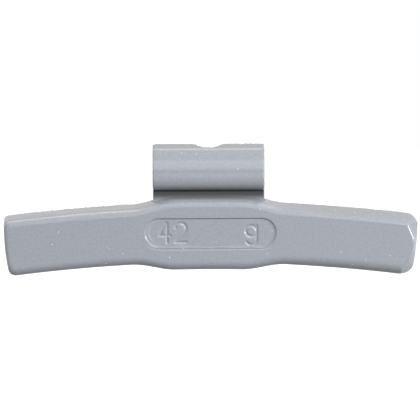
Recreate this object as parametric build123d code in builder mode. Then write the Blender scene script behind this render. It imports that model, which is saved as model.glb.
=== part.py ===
from build123d import *
from math import cos, degrees, radians, sin, sqrt, tan
import os

# Clip-on wheel balance weight: a pressed steel bar and the spring clip held in its top edge.
# Frame: X runs along the rim, -Y is the visible front, +Z points away from the wheel's axis.
# The origin is the axis of the clip's roll, where the lip of the rim sits.

# Driving dimensions of the spring clip, in millimetres and degrees
clip_width = 20.9
clip_thickness = 1.2
clip_inner_radius = 3.8
clip_front_flat = 1.45
clip_low_bend_radius = 1.3
clip_bend_radius = 0.4
clip_bend_turn = 75.0
clip_bend_run = 0.376
clip_neck = 0.378
clip_back_wrap = 25.0
clip_flare_radius = 1.6
clip_flare_angle = 40.0
clip_edge_radius = 0.3
tang_length = 5.0
tang_lead_in = 1.0
dimple_width = 5.7
dimple_depth = 0.8
dimple_edge_radius = 0.8

# Driving dimensions of the bar
bar_length = 78.4
bar_depth = 5.4
arm_height = 11.4
rim_radius = 300.0
boss_length = 12.4
boss_ramp = 8.2
boss_top_rise = 1.4
boss_bottom_rise = 1.25
top_slope = 5.0
bottom_slope = 2.5
top_edge_radius = 1.5
bottom_edge_radius = 2.1
back_edge_radius = 0.7
end_lean = 5.5
end_bulge = 0.3
end_zone = 7.8
end_apex_drop = 5.0
end_edge_radius = 0.3
end_standoff = 0.03
end_shift = 0.36
left_top_radius = 1.4
left_bottom_radius = 1.0
left_top_cut = 2.3
left_apex_cut = 1.0
left_bottom_cut = 3.5
left_apex_radius = 6.0
right_top_radius = 1.4
right_bottom_radius = 1.8
right_top_cut = 3.05
right_apex_cut = 0.95
right_bottom_cut = 4.3
right_apex_radius = 1.5
nick_depth = 1.22
nick_angle = 41.0

# Driving dimensions of the slot and of the recess where the bar was squeezed onto the tang
slot_back_wall = 1.3
slot_side_clearance = 0.1
slot_floor_clearance = 0.2
recess_length = 24.7
recess_height = 5.7
recess_depth = 0.3
recess_draft = 30.0
recess_drop = 5.3

os.makedirs("parts", exist_ok=True)

# Centre line of the clip's strip: the tang bends forward, then up into the roll, whose centre is the origin
roll_radius = clip_inner_radius + clip_thickness / 2
bend_radius = clip_bend_radius + clip_thickness / 2
low_bend_radius = clip_low_bend_radius + clip_thickness / 2
flare_radius = clip_flare_radius + clip_thickness / 2
crest_z = clip_inner_radius + clip_thickness
both_bends = bend_radius + low_bend_radius
bend_sin = sin(radians(clip_bend_turn))
bend_cos = cos(radians(clip_bend_turn))
tang_y = both_bends * (1 - bend_cos) + clip_bend_run * bend_sin - roll_radius
tang_top = -clip_front_flat - both_bends * bend_sin - clip_bend_run * bend_cos
seat_z = tang_top - clip_neck
tang_tip = seat_z - tang_length

# Groove of the dimple: a round trough across the crest
groove_radius = (dimple_width**2 / 4 + dimple_depth**2) / (2 * dimple_depth)
groove_z = crest_z - dimple_depth + groove_radius

# Faces of the bar, measured from the tang that it holds
back_y = tang_y + clip_thickness / 2 + slot_back_wall
front_y = back_y - bar_depth
top_inset = bar_depth * tan(radians(top_slope))
bottom_inset = bar_depth * tan(radians(bottom_slope))
boss_top = seat_z + (slot_back_wall + clip_thickness) * tan(radians(top_slope))
arm_top = boss_top - boss_top_rise
arm_middle = arm_top - arm_height / 2
wheel_axis_z = arm_top - rim_radius
bottom_radius = rim_radius - arm_height
half_length = bar_length / 2
blank_reach = half_length + bar_depth / 2


def on_arc(x, radius):
    """Point at x on the arc of that radius about the wheel's axis, in the front view."""
    return (x, wheel_axis_z + sqrt(radius**2 - x**2))


def along_arc(x, radius):
    """Direction of that arc at x, towards +X."""
    return (sqrt(radius**2 - x**2), -x)


def arc_between(x_start, x_end, radius):
    """Arc about the wheel's axis from one x to another."""
    ThreePointArc(on_arc(x_start, radius), on_arc((x_start + x_end) / 2, radius), on_arc(x_end, radius))


def long_edge(arm_radius, boss_radius):
    """One long edge of the bar from -X to +X: arm, ramp, boss, ramp and arm."""
    boss_end = boss_length / 2
    arm_start = boss_end + boss_ramp
    arc_between(-blank_reach, -arm_start, arm_radius)
    arc_between(-boss_end, boss_end, boss_radius)
    arc_between(arm_start, blank_reach, arm_radius)
    left_ramp = ((-arm_start, arm_radius), (-boss_end, boss_radius))
    right_ramp = ((boss_end, boss_radius), (arm_start, arm_radius))
    for start, end in (left_ramp, right_ramp):
        Spline(on_arc(*start), on_arc(*end), tangents=(along_arc(*start), along_arc(*end)))


# Form of the pressed ends: nearly square at the back, pointed like a fingertip at the front
high_radius = rim_radius + end_standoff
low_radius = bottom_radius - end_standoff
high = on_arc(half_length, high_radius)
low = on_arc(half_length - arm_height * tan(radians(end_lean)), low_radius)
middle = ((high[0] + low[0]) / 2 + end_bulge, (high[1] + low[1]) / 2)
apex_z = high[1] - end_apex_drop
left_cuts = (left_top_cut, left_apex_cut, left_bottom_cut)
right_cuts = (right_top_cut, right_apex_cut, right_bottom_cut)
with BuildPart() as end_form:
    with BuildSketch(Plane.XZ.offset(-back_y)) as back_outline:
        with BuildLine():
            arc_between(-high[0], high[0], high_radius)
            arc_between(-low[0], low[0], low_radius)
            for side in (-1, 1):
                ThreePointArc(*((side * x, z) for x, z in (low, middle, high)))
        make_face()
        for corner, corner_radius in (
            ((-high[0], high[1]), left_top_radius),
            ((-low[0], low[1]), left_bottom_radius),
            (high, right_top_radius),
            (low, right_bottom_radius),
        ):
            fillet(back_outline.vertices().sort_by_distance(corner)[0], corner_radius)
    with BuildSketch(Plane.XZ.offset(-front_y)) as front_outline:
        with BuildLine():
            arc_between(left_top_cut - half_length, half_length - right_top_cut, high_radius)
            arc_between(left_bottom_cut - half_length, half_length - right_bottom_cut, low_radius)
            for side, (top_cut, apex_cut, bottom_cut) in ((-1, left_cuts), (1, right_cuts)):
                apex = (side * (half_length - apex_cut), apex_z)
                Line(on_arc(side * (half_length - top_cut), high_radius), apex)
                Line(apex, on_arc(side * (half_length - bottom_cut), low_radius))
        make_face()
        for side, apex_cut, apex_radius in (
            (-1, left_apex_cut, left_apex_radius),
            (1, right_apex_cut, right_apex_radius),
        ):
            apex = (side * (half_length - apex_cut), apex_z)
            fillet(front_outline.vertices().sort_by_distance(apex)[0], apex_radius)
    loft(ruled=True)
    front_edges = end_form.faces().sort_by(Axis.Y)[0].edges()
    fillet(front_edges.filter_by(lambda edge: abs(edge.center().X) > half_length - end_zone), end_edge_radius)
    with Locations((0, (front_y + back_y) / 2, arm_middle)):
        Box(bar_length - 2 * end_zone, 2 * bar_depth, 3 * arm_height)
    nick_x, nick_z = on_arc(half_length, rim_radius)
    with Locations(Location((nick_x, back_y, nick_z), (0, nick_angle, 0))):
        Box(4 * nick_depth, 2 * bar_depth, 2 * nick_depth, mode=Mode.SUBTRACT)

with BuildPart() as weight_body:
    # Bar blank: the outline at the back and the one at the front, drawn in by the two slopes
    for plane_y, top_draw, bottom_draw in ((back_y, 0, 0), (front_y, top_inset, bottom_inset)):
        top_radius = rim_radius - top_draw
        low_edge_radius = bottom_radius + bottom_draw
        with BuildSketch(Plane.XZ.offset(-plane_y)):
            with BuildLine():
                long_edge(top_radius, top_radius + boss_top_rise)
                long_edge(low_edge_radius, low_edge_radius - boss_bottom_rise)
                for x in (-blank_reach, blank_reach):
                    Line(on_arc(x, top_radius), on_arc(x, low_edge_radius))
            make_face()
    loft(ruled=True)

    # Rounded long edges: front top, front bottom, then the two at the back
    for face_index, is_top, edge_radius in (
        (0, True, top_edge_radius),
        (0, False, bottom_edge_radius),
        (-1, True, back_edge_radius),
        (-1, False, back_edge_radius),
    ):
        face_edges = weight_body.faces().sort_by(Axis.Y)[face_index].edges()
        curved_edges = face_edges.filter_by(GeomType.LINE, reverse=True)
        fillet(curved_edges.filter_by(lambda edge: (edge.center().Z > arm_middle) == is_top), edge_radius)

    # Pressed ends, a little further round the rim than the boss
    wheel_axis = Axis((0, 0, wheel_axis_z), (0, 1, 0))
    add(end_form.part.rotate(wheel_axis, degrees(end_shift / rim_radius)), mode=Mode.INTERSECT)

    # Slot for the clip's tang
    with BuildSketch(Plane.XY.offset(boss_top)):
        with Locations((0, tang_y)):
            Rectangle(clip_width + 2 * slot_side_clearance, clip_thickness)
    extrude(amount=tang_tip - slot_floor_clearance - boss_top, mode=Mode.SUBTRACT)

    # Recess where the front was squeezed shut on the tang
    with BuildSketch(Plane.XZ.offset(-front_y)):
        with Locations((end_shift, arm_top - recess_drop)):
            SlotOverall(recess_length, recess_height)
    extrude(amount=-recess_depth, taper=recess_draft, mode=Mode.SUBTRACT)

# Bump inside the crest of the clip, the other side of its dimple
with BuildPart() as crest_bump:
    with BuildSketch(Plane.YZ):
        Circle(roll_radius)
    extrude(amount=dimple_width, both=True)
    with BuildSketch(Plane.XZ):
        with Locations((0, groove_z)):
            Circle(groove_radius + clip_thickness)
    extrude(amount=crest_z, both=True, mode=Mode.INTERSECT)

with BuildPart() as rim_clip:
    # Strip of spring steel, bent to a hook in side view
    with BuildSketch(Plane.YZ):
        with BuildLine():
            tang = Line((tang_y, tang_tip), (tang_y, tang_top))
            neck_bend = JernArc(tang @ 1, tang % 1, bend_radius, clip_bend_turn)
            bend_run = Line(neck_bend @ 1, neck_bend @ 1 + clip_bend_run * (neck_bend % 1))
            low_bend = JernArc(bend_run @ 1, bend_run % 1, low_bend_radius, -clip_bend_turn)
            front_flat = Line(low_bend @ 1, (-roll_radius, 0))
            roll = JernArc(front_flat @ 1, front_flat % 1, roll_radius, -180 - clip_back_wrap)
            flare = JernArc(roll @ 1, roll % 1, flare_radius, clip_flare_angle)
        trace(line_width=clip_thickness)
    extrude(amount=clip_width / 2, both=True)
    chamfer(rim_clip.edges().filter_by(Axis.Y).group_by(Axis.Z)[0], tang_lead_in)

    # Sheared sides of the strip, rounded above the slot
    side_faces = rim_clip.faces().filter_by(Axis.X).sort_by(Axis.X)
    side_edges = side_faces[0].edges() + side_faces[-1].edges()
    fillet(side_edges.filter_by(lambda edge: edge.center().Z > tang_top), clip_edge_radius)

    # Dimple pressed into the crest
    add(crest_bump.part)
    with BuildSketch(Plane.XZ):
        with Locations((0, groove_z)):
            Circle(groove_radius)
    extrude(amount=crest_z, both=True, mode=Mode.SUBTRACT)
    groove = rim_clip.faces(Select.LAST).filter_by(GeomType.CYLINDER).sort_by(Axis.Z)[-1]
    fillet(groove.edges(), dimple_edge_radius)
    bump = rim_clip.faces().filter_by(GeomType.CYLINDER).sort_by(SortBy.RADIUS)[-1]
    fillet(bump.edges(), dimple_edge_radius)

weight_body.part.label = "weight_body"
export_step(weight_body.part, "parts/weight_body.step")
rim_clip.part.label = "rim_clip"
export_step(rim_clip.part, "parts/rim_clip.step")
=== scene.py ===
"""Looks of a clip-on wheel balance weight: the coated bar, its spring clip, the light and the camera."""
from math import cos, pi, radians, sin, tan

import bmesh
import bpy
import numpy as np
from mathutils import Matrix, Vector


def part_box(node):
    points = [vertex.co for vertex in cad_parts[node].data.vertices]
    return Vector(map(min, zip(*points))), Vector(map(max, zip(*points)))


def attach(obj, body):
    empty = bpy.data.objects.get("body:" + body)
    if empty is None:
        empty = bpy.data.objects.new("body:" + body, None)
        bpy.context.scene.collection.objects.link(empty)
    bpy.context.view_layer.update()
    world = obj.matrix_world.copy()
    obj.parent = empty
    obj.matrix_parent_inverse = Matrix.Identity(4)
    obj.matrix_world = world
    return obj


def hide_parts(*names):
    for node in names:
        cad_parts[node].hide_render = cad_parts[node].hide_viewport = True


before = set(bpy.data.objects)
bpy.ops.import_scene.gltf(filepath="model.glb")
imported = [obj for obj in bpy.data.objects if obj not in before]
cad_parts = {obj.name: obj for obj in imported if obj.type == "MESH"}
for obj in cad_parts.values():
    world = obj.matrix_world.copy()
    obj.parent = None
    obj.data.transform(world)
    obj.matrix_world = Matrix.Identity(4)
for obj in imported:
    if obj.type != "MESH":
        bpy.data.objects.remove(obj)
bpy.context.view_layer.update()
MM = 0.001

# Places taken from the frame, in millimetres
bar_low, bar_high = (np.array(corner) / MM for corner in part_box("weight_body"))
clip_low, clip_high = (np.array(corner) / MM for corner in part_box("rim_clip"))
FRONT = bar_low[1]
BAR_DEPTH = bar_high[1] - bar_low[1]
CLIP_WIDTH = clip_high[0] - clip_low[0]
CREST = clip_high[2]
TANG_TIP = clip_low[2]

# Sizes of the bar, in millimetres and degrees
BAR_LENGTH = 78.04
ARM_HEIGHT = 11.4
ARM_TOP = -5.907
RIM_RADIUS = 300.0
WHEEL_AXIS = ARM_TOP - RIM_RADIUS
BOSS_LENGTH = 12.4
BOSS_RAMP = 8.2
BOSS_TOP_RISE = 1.4
BOSS_BOTTOM_RISE = 1.25
RIGHT_RISE_START = 6.0
RIGHT_RISE_RAMP = 5.0
RIGHT_ARM_RISE = 0.22
RIGHT_RAMP_START = 8.0
RIGHT_RAMP = 16.0
RIGHT_ARM_DROP = 0.12
TOP_SLOPE = 8.0
RIGHT_EXTRA_SLOPE = 8.0
BOTTOM_SLOPE = 2.5
TOP_CORNER_RADIUS = 0.01
LEFT_CHAMFER_DROP = 0.45
RIGHT_CHAMFER_DROP = 0.4
LEFT_CHAMFER_PITCH = 0.65
RIGHT_CHAMFER_PITCH = 1.3
CHAMFER_BLEND = 0.15
TOP_FACET_LEAN = 10.0
LEFT_FACET_DROP = 1.15
RIGHT_FACET_DROP = 0.55
FACET_BLEND = 0.2
BOTTOM_EDGE_RADIUS = 1.75
RIGHT_EXTRA_RADIUS = 0.5
BACK_EDGE_RADIUS = 0.7

# Sizes of the pressed ends
END_SHIFT = 0.339
LEFT_END_LEAN = 4.4
RIGHT_END_LEAN = 5.5
END_BULGE = 0.3
END_APEX_DROP = 5.0
LEFT_TOP_RADIUS = 0.5
LEFT_BOTTOM_RADIUS = 1.5
LEFT_TOP_CUT = 0.4
LEFT_APEX_CUT = 0.16
LEFT_BOTTOM_CUT = 1.45
LEFT_APEX_REACH = 1.2
LEFT_EDGE_RADIUS = 0.8
LEFT_END_DEPTH = 5.4
LEFT_TOP_CREASE = 0.8
LEFT_BOTTOM_CREASE = 1.3
RIGHT_TOP_RADIUS = 2.0
RIGHT_BOTTOM_RADIUS = 2.3
RIGHT_TOP_CUT = 2.96
RIGHT_APEX_CUT = 0.55
RIGHT_BOTTOM_CUT = 4.1
RIGHT_APEX_REACH = 1.4
RIGHT_FACET_WIDTH = 0.24
RIGHT_FACET_DEPTH = 0.14
RIGHT_END_DEPTH = 3.0
RIGHT_CREASE = 0.3

# Sizes of the recess and of the plain weight number pressed into it
RECESS_LENGTH = 24.75
RECESS_HEIGHT = 5.56
RECESS_MIDDLE = -11.277
RECESS_DEPTH = 0.3
RECESS_SIDE_WALL = 0.22
RECESS_LEFT_WALL = 0.27
RECESS_RIGHT_WALL = 0.8
RECESS_STEP = 0.7
GROOVE_START = RECESS_HEIGHT / 4
GROOVE_DEPTH = 0.07
GROOVE_OFFSET = 0.33
GROOVE_HALF_WIDTH = 0.2
MARK_HEIGHT = 3.6
MARK_WIDTH = 2.0
MARK_STROKE = 0.75
MARK_DEPTH = 0.2
MARK_TAIL = 0.55
FOUR_PLACE = -8.6
TWO_PLACE = -5.6
GRAM_PLACE = 7.6

# Sizes of the clip
STRIP = 1.2
ROLL_RADIUS = 4.399
NECK_BEND_RADIUS = 1.0
LOW_BEND_RADIUS = 1.9
FLARE_RADIUS = 2.2
BEND_TURN = 75.0
BEND_RUN = 0.495
FRONT_FLAT = 0.75
FLAT_LEAN = 6.0
LEAN_RADIUS = 1.0
ROLL_TURN = 205.0
FLARE_TURN = 40.0
TANG_LENGTH = 5.747
TANG_PLACE = -1.888
TANG_LEAD_IN = 1.0
STRIP_EDGE_RADIUS = 0.3
STRIP_END_ROUND = 0.2
STRIP_END_LOSS = 0.3
DIMPLE_WIDTH = 5.3
DIMPLE_DEPTH = 0.56
DIMPLE_BLEND = 0.15
SLOT_CLEARANCE = 0.1
SLOT_FLOOR_GAP = 0.2
SLOT_FLOOR = TANG_TIP - SLOT_FLOOR_GAP

# Painted shade in the fold under the clip: a line along X and how far from it the painted shade fades out
FOLD_Y = -2.5
FOLD_Z = -4.0
FOLD_CORE = 0.3
FOLD_REACH = 2.0
FOLD_HALF_LENGTH = 10.2
FOLD_END = 11.2

# Spacing of the grids and depths of the bar's rings
FINE_STEP = 0.085
FINE_MARGIN = 1.2
FINE_REACH = 3.3
ARM_STEP = 0.45
LINE_INSET = 6.0
LINE_DROP = 0.2
FAN_RAYS = 150
RAY_REACH = 9.0
HALVINGS = 40
FRONT_RINGS = 15
EXTRA_RINGS = (0.075, 0.27, 0.38, 0.55, 0.62, 0.75, 0.85)
BACK_RINGS = 8
BACK_RING_REACH = 1.1 * BACK_EDGE_RADIUS
PLAIN_ROWS = 6
STRIP_STEP = 0.15
STRIP_EDGE_TURNS = 13
MERGE_DISTANCE = 0.002
SHARP_ANGLE = 50.0

# Floor below the bar, and how its glow grows with the distance from the weight
FLOOR_DROP = 120.0
FLOOR_HALF = 1500.0
GLOW_START = 200.0
GLOW_END = 500.0
GLOW_UNDER_WEIGHT = 0.72


def smooth_step(t):
    """0 below 0, 1 above 1 and 3 t^2 - 2 t^3 between."""
    t = np.clip(t, 0, 1)
    return t * t * (3 - 2 * t)


def soft_min(a, b, reach):
    """The smaller of a and b, with the corner between them rounded over the reach."""
    overlap = np.maximum(reach - np.abs(a - b), 0)
    return np.minimum(a, b) - overlap**2 / (4 * reach)


def quarter_round(distance, radius):
    """How far a round of that radius stands in at a distance from where it starts."""
    rest = np.clip(radius - distance, 0, radius)
    return radius - np.sqrt(radius**2 - rest**2)


def grid_quads(columns, rows):
    """Corner numbers of the quads of a grid whose columns close into a ring."""
    column, row = np.meshgrid(np.arange(columns), np.arange(rows - 1), indexing="ij")
    here = column * rows + row
    beside = (column + 1) % columns * rows + row
    return np.stack([here, beside, beside + 1, here + 1], axis=-1)


def mesh_piece(name, points, quads):
    """Object from points in millimetres and quads, with doubles merged and faces turned outwards."""
    mesh = bpy.data.meshes.new(name)
    mesh.from_pydata((points * MM).tolist(), [], quads.tolist())
    shape = bmesh.new()
    shape.from_mesh(mesh)
    bmesh.ops.remove_doubles(shape, verts=shape.verts, dist=MERGE_DISTANCE * MM)
    bmesh.ops.recalc_face_normals(shape, faces=shape.faces)
    shape.to_mesh(mesh)
    shape.free()
    mesh.shade_smooth()
    mesh.set_sharp_from_angle(angle=radians(SHARP_ANGLE))
    piece = bpy.data.objects.new(name, mesh)
    bpy.context.collection.objects.link(piece)
    return piece


def arc_height(x, radius):
    """Height at x of a circle about the wheel's axis: the axis plus sqrt(radius^2 - x^2)."""
    return WHEEL_AXIS + np.sqrt(radius**2 - x**2)


def boss_swell(x):
    """1 along the boss, 0 along the arms and an S-shaped ramp between."""
    return smooth_step((BOSS_LENGTH / 2 + BOSS_RAMP - np.abs(x)) / BOSS_RAMP)


def rightwards(x):
    """0 on the left, 1 along the right arm and an S-shaped ramp between."""
    return smooth_step((x - RIGHT_RAMP_START) / RIGHT_RAMP)


def wall_profile(depth, rise, front_radius):
    """Height of a long side above its back corner: a sloping wall with a round at the front and back."""
    stretch = np.sqrt(1 + rise**2)
    lean = rise / stretch
    front_centre = -BAR_DEPTH * rise - front_radius * (1 - lean) * stretch
    front_round = front_centre + np.sqrt(np.maximum(front_radius**2 - (front_radius - depth) ** 2, 0))
    from_back = BAR_DEPTH - depth
    back_centre = -BACK_EDGE_RADIUS * (1 + lean) * stretch
    back_rest = BACK_EDGE_RADIUS - from_back
    back_round = back_centre + np.sqrt(np.maximum(BACK_EDGE_RADIUS**2 - back_rest**2, 0))
    profile = np.where(depth < front_radius * (1 - lean), front_round, -from_back * rise)
    return np.where(from_back < BACK_EDGE_RADIUS * (1 + lean), back_round, profile)


def top_profile(x, depth):
    """Height of the top above its back corner: a sloping wall, then a chamfer and a nearly upright facet.

    Towards the right arm the wall and the chamfer get steeper.
    """
    right = rightwards(x)
    rise = np.tan(np.radians(TOP_SLOPE + RIGHT_EXTRA_SLOPE * right))
    pitch = LEFT_CHAMFER_PITCH + (RIGHT_CHAMFER_PITCH - LEFT_CHAMFER_PITCH) * right
    facet_drop = LEFT_FACET_DROP + (RIGHT_FACET_DROP - LEFT_FACET_DROP) * right
    front_corner = -BAR_DEPTH * rise
    chamfer_drop = LEFT_CHAMFER_DROP + (RIGHT_CHAMFER_DROP - LEFT_CHAMFER_DROP) * right
    chamfer = front_corner - chamfer_drop + depth * pitch
    facet = front_corner - facet_drop + depth / tan(radians(TOP_FACET_LEAN))
    wall = wall_profile(depth, rise, TOP_CORNER_RADIUS)
    return soft_min(soft_min(wall, chamfer, CHAMFER_BLEND), facet, FACET_BLEND)


def end_room(x, z, depth):
    """Room inside the pressed ends: straight lines in depth from a round-cornered back to a pointed front.

    The left end's front edge is a quarter circle, the right end's a narrow flat facet.
    """
    angle = np.arctan2(x, z - WHEEL_AXIS) - END_SHIFT / RIM_RADIUS
    reach = np.hypot(x, z - WHEEL_AXIS)
    across = reach * np.sin(angle)
    to_bottom = reach - RIM_RADIUS + ARM_HEIGHT
    to_top = ARM_HEIGHT - to_bottom
    on_right = across > 0

    # Back outline: a leaning, bulged side with a round at each corner
    level = to_bottom / ARM_HEIGHT
    lean_angle = np.radians(np.where(on_right, RIGHT_END_LEAN, LEFT_END_LEAN))
    lean = ARM_HEIGHT * np.tan(lean_angle) * (1 - level)
    top_cut = quarter_round(to_top, np.where(on_right, RIGHT_TOP_RADIUS, LEFT_TOP_RADIUS))
    bottom_cut = quarter_round(to_bottom, np.where(on_right, RIGHT_BOTTOM_RADIUS, LEFT_BOTTOM_RADIUS))
    back_side = 4 * END_BULGE * level * (1 - level) - lean - top_cut - bottom_cut

    # Front outline: two straight flanks that meet in a rounded apex
    apex = np.where(on_right, RIGHT_APEX_CUT, LEFT_APEX_CUT)
    upper_run = np.where(on_right, RIGHT_TOP_CUT, LEFT_TOP_CUT) - apex
    lower_run = np.where(on_right, RIGHT_BOTTOM_CUT, LEFT_BOTTOM_CUT) - apex
    upper_flank = upper_run * (to_top / END_APEX_DROP - 1)
    lower_flank = lower_run * (to_bottom / (ARM_HEIGHT - END_APEX_DROP) - 1)
    apex_reach = np.where(on_right, RIGHT_APEX_REACH, LEFT_APEX_REACH)
    front_side = soft_min(upper_flank, lower_flank, apex_reach) - apex

    end_depth = np.where(on_right, RIGHT_END_DEPTH, LEFT_END_DEPTH)
    side = back_side + (front_side - back_side) * np.clip(1 - depth / end_depth, 0, 1)
    left_edge = quarter_round(depth, LEFT_EDGE_RADIUS)
    right_edge = RIGHT_FACET_WIDTH * np.clip(1 - depth / RIGHT_FACET_DEPTH, 0, 1)
    return BAR_LENGTH / 2 + side - np.abs(across) - np.where(on_right, right_edge, left_edge)


def bar_room(x, z, depth):
    """Room inside the bar: the least of the room under its top, over its bottom and inside its ends."""
    swell = boss_swell(x)
    right = rightwards(x)
    right_rise = RIGHT_ARM_RISE * smooth_step((x - RIGHT_RISE_START) / RIGHT_RISE_RAMP)
    top = arc_height(x, RIM_RADIUS) + BOSS_TOP_RISE * swell + right_rise
    bottom = arc_height(x, RIM_RADIUS - ARM_HEIGHT) - BOSS_BOTTOM_RISE * swell - RIGHT_ARM_DROP * right
    under_top = top + top_profile(x, depth) - z
    bottom_radius = BOTTOM_EDGE_RADIUS + RIGHT_EXTRA_RADIUS * right
    over_bottom = z - bottom + wall_profile(depth, tan(radians(BOTTOM_SLOPE)), bottom_radius)
    left_crease = np.where(under_top < over_bottom, LEFT_TOP_CREASE, LEFT_BOTTOM_CREASE)
    crease = np.where(x > 0, RIGHT_CREASE, left_crease)
    return soft_min(np.minimum(under_top, over_bottom), end_room(x, z, depth), crease)


def to_segment(x, z, start, end):
    """Distance from points to a straight stroke: to the perpendicular's foot, held between its ends."""
    run = np.subtract(end, start)
    share = np.clip(((x - start[0]) * run[0] + (z - start[1]) * run[1]) / (run @ run), 0, 1)
    return np.hypot(x - start[0] - share * run[0], z - start[1] - share * run[1])


def to_arc(x, z, centre, radius, middle_angle, half_sweep):
    """Distance from points to an arc: to the circle's point at their angle, held within the sweep.

    The arc is given by its middle direction and half its sweep, in degrees.
    """
    middle = radians(middle_angle)
    turn = (np.arctan2(z - centre[1], x - centre[0]) - middle + pi) % (2 * pi) - pi
    angle = middle + np.clip(turn, -radians(half_sweep), radians(half_sweep))
    return np.hypot(x - centre[0] - radius * np.cos(angle), z - centre[1] - radius * np.sin(angle))


def mark_distance(x, z):
    """Distance to the nearest stroke of the weight number and its unit, about the recess's middle."""
    half = MARK_HEIGHT / 2
    bowl = MARK_WIDTH / 2
    upper = half - bowl

    # The four: a slant, a bar below the middle and a stem
    four = x - FOUR_PLACE
    bar_z = -0.3 * half
    slant_x = 0.25 * bowl
    stem_x = 0.45 * bowl
    four_strokes = (
        to_segment(four, z, (slant_x, half), (-bowl, bar_z)),
        to_segment(four, z, (-bowl, bar_z), (bowl, bar_z)),
        to_segment(four, z, (stem_x, half), (stem_x, -half)),
    )

    # The two: an arc from 170 to -40 degrees, a straight slant from its end and a foot
    two = x - TWO_PLACE
    arc_end = (0.77 * bowl, upper - 0.64 * bowl)
    two_strokes = (
        to_arc(two, z, (0, upper), bowl, 65, 105),
        to_segment(two, z, arc_end, (-bowl, -half)),
        to_segment(two, z, (-bowl, -half), (bowl, -half)),
    )

    # The g: a full bowl, a stem and a hook below the line of the number
    gram = x - GRAM_PLACE
    low_z = z + MARK_TAIL
    gram_strokes = (
        to_arc(gram, low_z, (0, upper), bowl, 0, 180),
        to_segment(gram, low_z, (bowl, half), (bowl, -upper)),
        to_arc(gram, low_z, (0, -upper), bowl, 285, 75),
    )
    return np.minimum.reduce(four_strokes + two_strokes + gram_strokes)


def face_relief(x, z):
    """Depth pressed into the front: a stadium with V-shaped strokes in its floor and a groove below it.

    Its side walls are steep, its left wall has two steps and its right wall runs out gently.
    """
    across = x - END_SHIFT
    height = z - RECESS_MIDDLE
    straight = (RECESS_LENGTH - RECESS_HEIGHT) / 2
    beyond = across - np.clip(across, -straight, straight)
    tiny = 1e-9
    from_axis = np.hypot(beyond, height) + tiny
    inward = RECESS_HEIGHT / 2 - from_axis
    endwards = (beyond / from_axis) ** 2
    side_wall = smooth_step(inward / RECESS_SIDE_WALL)
    left_steps = np.stack([inward, inward - RECESS_STEP]) / RECESS_LEFT_WALL
    left_wall = np.clip(left_steps, 0, 1).mean(axis=0)
    right_wall = (side_wall + smooth_step(inward / RECESS_RIGHT_WALL)) / 2
    end_wall = np.where(beyond < 0, left_wall, right_wall)
    floor = RECESS_DEPTH * (side_wall + (end_wall - side_wall) * endwards)
    stroke = MARK_DEPTH * np.clip(1 - 2 * mark_distance(across, height) / MARK_STROKE, 0, 1)
    below = smooth_step(-height / GROOVE_START - 1) * (1 - endwards)
    groove = GROOVE_DEPTH * below * smooth_step(1 - np.abs(inward + GROOVE_OFFSET) / GROOVE_HALF_WIDTH)
    return floor + stroke + groove


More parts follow.
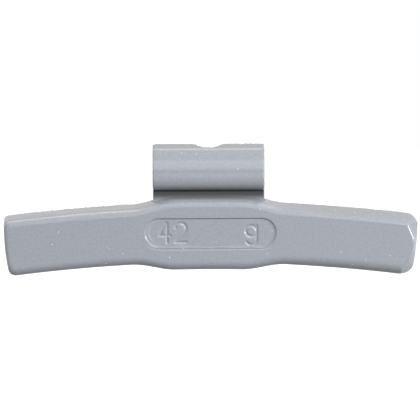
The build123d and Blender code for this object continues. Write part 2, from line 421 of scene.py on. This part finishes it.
def bar_skin():
    """Rings round the bar, one for each depth, joined into its front, sides and back.

    Each point of a ring is where a ray from the bar's middle line runs out of room.
    """
    slot_edge = CLIP_WIDTH / 2 + SLOT_CLEARANCE
    line_end = BAR_LENGTH / 2 - LINE_INSET
    fine_end = RECESS_LENGTH / 2 + FINE_MARGIN
    fine = np.linspace(-fine_end, fine_end, 2 * round(fine_end / FINE_STEP) + 1)
    arm = np.linspace(fine_end, line_end, round((line_end - fine_end) / ARM_STEP))
    columns = np.unique(np.concatenate([-arm, fine, arm, [-slot_edge, slot_edge]]).round(6))
    fan = np.linspace(90, -90, FAN_RAYS + 2)[1:-1]
    ends = np.full(FAN_RAYS, columns[-1])
    origin_x = np.concatenate([columns, ends, columns[::-1], -ends])
    upward = np.full(len(columns), 90.0)
    direction = np.radians(np.concatenate([upward, fan, -upward, fan - 180]))
    origin_z = arc_height(origin_x, RIM_RADIUS) + RECESS_MIDDLE - ARM_TOP - LINE_DROP
    step_x, step_z = np.cos(direction), np.sin(direction)

    # Depths of the rings: close together in the rounds, with one at each long edge of the slot
    slot_front = TANG_PLACE - STRIP / 2 - FRONT
    slot_back = slot_front + STRIP
    slot_depths = (slot_front, (slot_front + slot_back) / 2, slot_back)
    front_turns = np.radians(np.linspace(0, 90, FRONT_RINGS))
    back_turns = np.radians(np.linspace(90, 0, BACK_RINGS))
    round_depths = BOTTOM_EDGE_RADIUS * (1 - np.cos(front_turns))
    front_depths = np.sort(np.concatenate([round_depths, EXTRA_RINGS, [RIGHT_FACET_DEPTH]]))
    back_depths = BAR_DEPTH - BACK_RING_REACH * (1 - np.cos(back_turns))
    depths = np.concatenate([front_depths, slot_depths, back_depths])

    # Halving the reach of each ray until it ends on the outline
    low = np.zeros((len(origin_x), len(depths)))
    high = np.full_like(low, RAY_REACH)
    for _ in range(HALVINGS):
        middle = (low + high) / 2
        inside = bar_room(origin_x[:, None] + step_x[:, None] * middle,
                          origin_z[:, None] + step_z[:, None] * middle, depths) > 0
        low = np.where(inside, middle, low)
        high = np.where(inside, high, middle)

    # Rows from the middle of the front out to its edge, round the sides and in over the back
    fine_reach = np.arange(0, FINE_REACH, FINE_STEP)
    front_edge, back_edge = low[:, :1], low[:, -1:]
    outer = fine_reach[-1] + (front_edge - fine_reach[-1]) * np.linspace(0, 1, PLAIN_ROWS)[1:-1]
    face_reach = np.concatenate([np.tile(fine_reach, (len(origin_x), 1)), outer], axis=1)
    back_reach = back_edge * np.linspace(1, 0, PLAIN_ROWS)[1:]
    reach = np.concatenate([face_reach, low, back_reach], axis=1)
    x = origin_x[:, None] + step_x[:, None] * reach
    z = origin_z[:, None] + step_z[:, None] * reach
    face_rows = face_reach.shape[1]
    depth = np.concatenate([np.zeros(face_rows), depths, np.full(back_reach.shape[1], BAR_DEPTH)])
    y = FRONT + np.tile(depth, (len(origin_x), 1))
    y[:, :face_rows] += face_relief(x[:, :face_rows], z[:, :face_rows])
    points = np.stack([x, y, z], axis=-1)
    quads = grid_quads(*x.shape)

    # Slot for the clip's tang: the patch of the top between its edges is sunk to a flat floor
    first, last = np.abs(columns + slot_edge).argmin(), np.abs(columns - slot_edge).argmin()
    near = face_rows + len(front_depths)
    far = near + 2
    rows = x.shape[1]
    patch = np.arange(first, last + 1)[:, None] * rows + np.arange(near, far + 1)
    sunk = points[first:last + 1, near:far + 1].copy()
    sunk[..., 2] = SLOT_FLOOR
    floor = len(points) * rows + np.arange(patch.size).reshape(patch.shape)
    rim = np.concatenate([patch[:, 0], patch[-1, 1:], patch[-2::-1, -1], patch[0, -2:0:-1]])
    foot = np.concatenate([floor[:, 0], floor[-1, 1:], floor[-2::-1, -1], floor[0, -2:0:-1]])
    walls = np.stack([rim, np.roll(rim, -1), np.roll(foot, -1), foot], axis=-1)
    floor_quads = np.stack([floor[:-1, :-1], floor[1:, :-1], floor[1:, 1:], floor[:-1, 1:]], axis=-1)
    keep = np.ones(quads.shape[:2], bool)
    keep[first:last, near:far] = False
    all_points = np.concatenate([points.reshape(-1, 3), sunk.reshape(-1, 3)])
    all_quads = np.concatenate([quads[keep], floor_quads.reshape(-1, 4), walls])
    return mesh_piece("coated_bar", all_points, all_quads)


def strip_section():
    """Closed outline across the strip: flat outside and inside, with a quarter circle at each corner."""
    half, thick, radius = CLIP_WIDTH / 2, STRIP / 2, STRIP_EDGE_RADIUS
    flat = np.linspace(-half + radius, half - radius, 2 * round((half - radius) / STRIP_STEP) + 1)
    turn = np.radians(np.linspace(90, -90, STRIP_EDGE_TURNS)[1:-1])
    side_x = half - radius + radius * np.cos(turn)
    side_n = np.sign(np.round(np.sin(turn), 6)) * (thick - radius) + radius * np.sin(turn)
    section_x = np.concatenate([flat, side_x, flat[::-1], -side_x[::-1]])
    outside = np.full(len(flat), thick)
    section_n = np.concatenate([outside, side_n, -outside, side_n[::-1]])
    return section_x, section_n


def clip_skin():
    """A strip carried along tang, bends, front, roll and flare, with a trough pressed into the crest.

    The heading is the sum of the turns so far, and each step adds its chord along the mean heading.
    The trough's bottom is a parabola across the strip.
    """
    bend, lean, roll, flare = np.radians([BEND_TURN, FLAT_LEAN, ROLL_TURN, FLARE_TURN])
    turns = np.array([0, bend, 0, -bend - lean, 0, lean, -roll, flare])
    low_bend = (bend + lean) * LOW_BEND_RADIUS
    lengths = (TANG_LENGTH, bend * NECK_BEND_RADIUS, BEND_RUN, low_bend, FRONT_FLAT,
               lean * LEAN_RADIUS, roll * ROLL_RADIUS, flare * FLARE_RADIUS)
    joins = np.concatenate([[0], np.cumsum(lengths)])
    near_end = np.array([STRIP_END_ROUND / 2, STRIP_END_ROUND])
    stations = [near_end, joins[-1] - near_end]
    for start, end in zip(joins[:-1], joins[1:]):
        stations.append(np.linspace(start, end, max(round((end - start) / STRIP_STEP), 2) + 1))
    run = np.unique(np.concatenate(stations).round(9))
    heading = pi / 2 + np.interp(run, joins, np.concatenate([[0], np.cumsum(turns)]))
    between = (heading[1:] + heading[:-1]) / 2
    chord = np.diff(run) * np.sinc(np.diff(heading) / (2 * pi))
    path_y = TANG_PLACE + np.concatenate([[0], np.cumsum(chord * np.cos(between))])
    path_z = TANG_TIP + np.concatenate([[0], np.cumsum(chord * np.sin(between))])

    # Sheared ends are rounded a little, then closed along the middle of the strip
    from_end = np.minimum(run, joins[-1] - run)
    thickness = 1 - STRIP_END_LOSS * np.clip(1 - from_end / STRIP_END_ROUND, 0, 1) ** 2
    thickness = np.concatenate([[0], thickness, [0]])
    path = np.stack([path_y, path_z, heading, run])
    path_y, path_z, heading, run = np.concatenate([path[:, :1], path, path[:, -1:]], axis=1)
    lead_in = 1 - np.clip(TANG_LEAD_IN - run, 0, TANG_LEAD_IN) / (CLIP_WIDTH / 2)

    section_x, section_n = strip_section()
    offset = section_n[:, None] * thickness
    x = section_x[:, None] * lead_in
    y = path_y - offset * np.sin(heading)
    z = path_z + offset * np.cos(heading)
    trough = CREST - DIMPLE_DEPTH + x**2 * 4 * DIMPLE_DEPTH / DIMPLE_WIDTH**2
    z = np.where(z > 0, soft_min(z, trough - STRIP / 2 + section_n[:, None], DIMPLE_BLEND), z)
    points = np.stack([x, y, z], axis=-1)
    return mesh_piece("coated_clip", points.reshape(-1, 3), grid_quads(*x.shape).reshape(-1, 4))


def linear(hex_colour):
    """Linear red, green, blue and 1 from an sRGB hex colour."""
    channels = np.array([int(hex_colour[i:i + 2], 16) for i in (1, 3, 5)]) / 255
    light = np.where(channels <= 0.04045, channels / 12.92, ((channels + 0.055) / 1.055) ** 2.4)
    return (*light.tolist(), 1.0)


def add_node(tree, kind, settings=None, links=None):
    """Adds a node, sets its properties or its inputs, and links inputs to other nodes' outputs."""
    node = tree.nodes.new(kind)
    for name, value in (settings or {}).items():
        if isinstance(name, int) or name in node.inputs:
            node.inputs[name].default_value = value
        else:
            setattr(node, name, value)
    for name, output in (links or {}).items():
        tree.links.new(output, node.inputs[name])
    return node


def new_material(name):
    """Material with an empty node tree and its output node."""
    material = bpy.data.materials.new(name)
    material.use_nodes = True
    material.node_tree.nodes.clear()
    return material, material.node_tree, add_node(material.node_tree, "ShaderNodeOutputMaterial")


def powder_coat(name):
    """Satin polyester powder coat on steel, sprayed on and baked.

    It gives a bluish grey, finely grained skin with a soft gloss and a few pale specks painted as glints
    on small nicks.
    In the fold under the clip a dark grey is painted in, standing in for the shade that falls there.
    """
    material, tree, output = new_material(name)
    place = add_node(tree, "ShaderNodeTexCoord").outputs["Object"]
    peel_size, peel_height, grain_size = 0.7 * MM, 0.03 * MM, 0.45 * MM
    speck_spacing, speck_radius, speckless_share = 2.0 * MM, 0.11 * MM, 0.3

    # Grain of the powder, drawn coarser than the real one so that it shows
    grain = add_node(tree, "ShaderNodeTexNoise", {"Scale": 1 / grain_size, "Detail": 1.0},
                     {"Vector": place})
    tint = add_node(tree, "ShaderNodeValToRGB", links={"Fac": grain.outputs["Fac"]})
    tint.color_ramp.elements[0].position = 0.35
    tint.color_ramp.elements[0].color = linear("#9da1aa")
    tint.color_ramp.elements[1].position = 0.65
    tint.color_ramp.elements[1].color = linear("#a3a7b0")

    # Painted glints of small nicks: pale specks within a small distance of the points of those Voronoi
    # cells whose random red is high enough
    cell = add_node(tree, "ShaderNodeTexVoronoi", {"Scale": 1 / speck_spacing}, {"Vector": place})
    cell_colour = add_node(tree, "ShaderNodeSeparateColor", links={"Color": cell.outputs["Color"]})
    chosen = add_node(tree, "ShaderNodeMath", {"operation": "GREATER_THAN", 1: speckless_share},
                      {0: cell_colour.outputs["Red"]})
    spot = add_node(tree, "ShaderNodeMath", {"operation": "LESS_THAN", 1: speck_radius / speck_spacing},
                    {0: cell.outputs["Distance"]})
    painted_glint_speck = add_node(tree, "ShaderNodeMath", {"operation": "MULTIPLY"},
                     {0: chosen.outputs["Value"], 1: spot.outputs["Value"]})
    skin = add_node(tree, "ShaderNodeMix", {"data_type": "RGBA"}, {"Factor": painted_glint_speck.outputs["Value"]})
    tree.links.new(tint.outputs["Color"], skin.inputs["A"])
    # Near-white colour painted in as the glints of small nicks
    skin.inputs["B"].default_value = linear("#e4e6e8")

    # Painted shade in the fold: dark grey near a line along X between the clip's low bend and the top of
    # the boss
    fade = {"interpolation_type": "SMOOTHSTEP", "To Min": 1.0, "To Max": 0.0}
    section = add_node(tree, "ShaderNodeVectorMath", {"operation": "MULTIPLY", 1: (0, 1, 1)}, {0: place})
    fold_line = (0, FOLD_Y * MM, FOLD_Z * MM)
    to_fold = add_node(tree, "ShaderNodeVectorMath", {"operation": "DISTANCE", 1: fold_line},
                       {0: section.outputs["Vector"]})
    near = add_node(tree, "ShaderNodeMapRange",
                    {**fade, "From Min": FOLD_CORE * MM, "From Max": FOLD_REACH * MM},
                    {"Value": to_fold.outputs["Value"]})
    parts = add_node(tree, "ShaderNodeSeparateXYZ", links={"Vector": place})
    along = add_node(tree, "ShaderNodeMath", {"operation": "ABSOLUTE"}, {0: parts.outputs["X"]})
    under = add_node(tree, "ShaderNodeMapRange",
                     {**fade, "From Min": FOLD_HALF_LENGTH * MM, "From Max": FOLD_END * MM},
                     {"Value": along.outputs["Value"]})
    painted_fold_shade = add_node(tree, "ShaderNodeMath", {"operation": "MULTIPLY"},
                    {0: near.outputs["Result"], 1: under.outputs["Result"]})
    # Dark grey painted in as the shade that falls in the fold under the clip
    colour = add_node(tree, "ShaderNodeMix", {"data_type": "RGBA"}, {"Factor": painted_fold_shade.outputs["Value"]})
    tree.links.new(skin.outputs["Result"], colour.inputs["A"])
    colour.inputs["B"].default_value = linear("#46484d")

    # Orange peel: a fine unevenness that the gloss shows
    peel = add_node(tree, "ShaderNodeTexNoise", {"Scale": 1 / peel_size, "Detail": 2.0}, {"Vector": place})
    bump = add_node(tree, "ShaderNodeBump", {"Strength": 0.2, "Distance": peel_height},
                    {"Height": peel.outputs["Fac"]})
    coat = add_node(tree, "ShaderNodeBsdfPrincipled", {"Roughness": 0.2, "IOR": 1.45},
                    {"Base Color": colour.outputs["Result"], "Normal": bump.outputs["Normal"]})
    tree.links.new(coat.outputs["BSDF"], output.inputs["Surface"])
    return material


def seen_directly(tree):
    """1 for rays from the camera, mirrors and glass, 0 for light that bounces."""
    path = add_node(tree, "ShaderNodeLightPath")
    glossy = add_node(tree, "ShaderNodeMath", {"operation": "MAXIMUM"})
    tree.links.new(path.outputs["Is Camera Ray"], glossy.inputs[0])
    tree.links.new(path.outputs["Is Glossy Ray"], glossy.inputs[1])
    either = add_node(tree, "ShaderNodeMath", {"operation": "MAXIMUM"})
    tree.links.new(glossy.outputs["Value"], either.inputs[0])
    tree.links.new(path.outputs["Is Transmission Ray"], either.inputs[1])
    return either.outputs["Value"]


def white_floor(bounce):
    """A matt floor well below the weight, which shows white but throws little light back.

    Under the weight its glow is weaker, so that the weight's shadow stays visible there.
    """
    material, tree, output = new_material("matt_white_floor")
    seen = seen_directly(tree)
    tone = add_node(tree, "ShaderNodeMix", {"data_type": "RGBA"}, {"Factor": seen})
    tone.inputs["A"].default_value = linear(bounce)
    tone.inputs["B"].default_value = linear("#808080")
    matt = add_node(tree, "ShaderNodeBsdfDiffuse", links={"Color": tone.outputs["Result"]})
    place = add_node(tree, "ShaderNodeTexCoord").outputs["Object"]
    away = add_node(tree, "ShaderNodeVectorMath", {"operation": "LENGTH"}, {0: place})
    glow = add_node(tree, "ShaderNodeMapRange",
                    {"interpolation_type": "SMOOTHSTEP", "To Min": GLOW_UNDER_WEIGHT, "To Max": 1.0,
                     "From Min": GLOW_START * MM, "From Max": GLOW_END * MM},
                    {"Value": away.outputs["Value"]})
    shown = add_node(tree, "ShaderNodeMath", {"operation": "MULTIPLY"},
                     {0: glow.outputs["Result"], 1: seen})
    lift = add_node(tree, "ShaderNodeEmission", {"Color": linear("#ffffff")},
                    {"Strength": shown.outputs["Value"]})
    both = add_node(tree, "ShaderNodeAddShader")
    tree.links.new(matt.outputs["BSDF"], both.inputs[0])
    tree.links.new(lift.outputs["Emission"], both.inputs[1])
    tree.links.new(both.outputs["Shader"], output.inputs["Surface"])
    sides = np.array([(-1, -1), (1, -1), (1, 1), (-1, 1)])
    corners = np.column_stack([sides * FLOOR_HALF, np.full(len(sides), bar_low[2] - FLOOR_DROP)])
    floor = mesh_piece("floor", corners, np.array([[0, 1, 2, 3]]))
    floor.data.materials.append(material)


def sky(strength):
    """World that fills the shadows with even grey and shows white behind the weight."""
    world = bpy.data.worlds.new("studio")
    bpy.context.scene.world = world
    world.use_nodes = True
    tree = world.node_tree
    tree.nodes.clear()
    tone = add_node(tree, "ShaderNodeMix", {"data_type": "FLOAT"}, {"Factor": seen_directly(tree)})
    tone.inputs["A"].default_value = strength
    tone.inputs["B"].default_value = 1.0
    shine = add_node(tree, "ShaderNodeBackground", {"Color": linear("#ffffff")},
                     {"Strength": tone.outputs["Result"]})
    output = add_node(tree, "ShaderNodeOutputWorld")
    tree.links.new(shine.outputs["Background"], output.inputs["Surface"])


def soft_box(name, azimuth, elevation, distance, width, height, watts, colour="#ffffff"):
    """Area lamp aimed at the weight from an azimuth right of the camera and an elevation, in degrees."""
    lamp = bpy.data.lights.new(name, "AREA")
    lamp.shape = "RECTANGLE"
    lamp.size = width
    lamp.size_y = height
    lamp.energy = watts
    lamp.color = linear(colour)[:3]
    holder = bpy.data.objects.new(name, lamp)
    turn, lift = radians(azimuth), radians(elevation)
    towards = Vector((sin(turn) * cos(lift), -cos(turn) * cos(lift), sin(lift)))
    holder.location = towards * distance + Vector((0, 0, bar_low[2] * MM / 2))
    holder.rotation_euler = towards.to_track_quat("Z", "Y").to_euler()
    holder.visible_camera = False
    bpy.context.collection.objects.link(holder)


def photo_camera():
    """Long lens a little above the weight, turned a hair about its own axis."""
    distance, elevation, roll = 400.0, radians(7), radians(-0.27)
    pixels_per_mm, picture_size, sensor = 5.33, 420, 36.0
    aim = Vector((0.246, -3.0, -7.275)) * MM
    lens = bpy.data.cameras.new("camera")
    lens.sensor_width = sensor
    lens.lens = pixels_per_mm * distance * sensor / picture_size
    lens.clip_start = 0.01
    camera = bpy.data.objects.new("camera", lens)
    back = Vector((0, -cos(elevation), sin(elevation)))
    camera.matrix_world = (Matrix.Translation(aim + back * distance * MM)
                           @ back.to_track_quat("Z", "Y").to_matrix().to_4x4()
                           @ Matrix.Rotation(roll, 4, "Z"))
    bpy.context.collection.objects.link(camera)
    bpy.context.scene.camera = camera


bar = bar_skin()
bar.data.materials.append(powder_coat("satin_powder_coat_on_bar"))
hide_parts("weight_body")
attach(bar, "root")

clip = clip_skin()
clip.data.materials.append(powder_coat("satin_powder_coat_on_clip"))
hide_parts("rim_clip")
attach(clip, "root")

white_floor("#404040")
sky(0.12)

# Lamps: azimuth and elevation in degrees, distance, width and height in metres, then watts and colour
soft_box("key_box", 30, 38, 0.8, 0.3, 0.3, 1.85)
soft_box("front_box", 10, 28, 1.0, 0.9, 0.7, 4.5)
soft_box("left_box", -40, 40, 0.8, 0.3, 0.3, 0.8)
soft_box("right_lamp", 57, 11, 0.8, 0.06, 0.3, 3.7)
soft_box("overhead_tube", 0, 107, 0.7, 0.6, 0.06, 1.0, "#fff0dc")
soft_box("under_box", 0, -75, 0.1, 0.25, 0.08, 0.015)
soft_box("rear_box", 180, -2, 1.0, 0.25, 0.2, 2.6, "#fff4e8")
soft_box("rear_left_box", -105, 10, 1.0, 0.4, 0.4, 4.6, "#fff4e8")

photo_camera()
bpy.context.scene.view_settings.view_transform = "Standard"
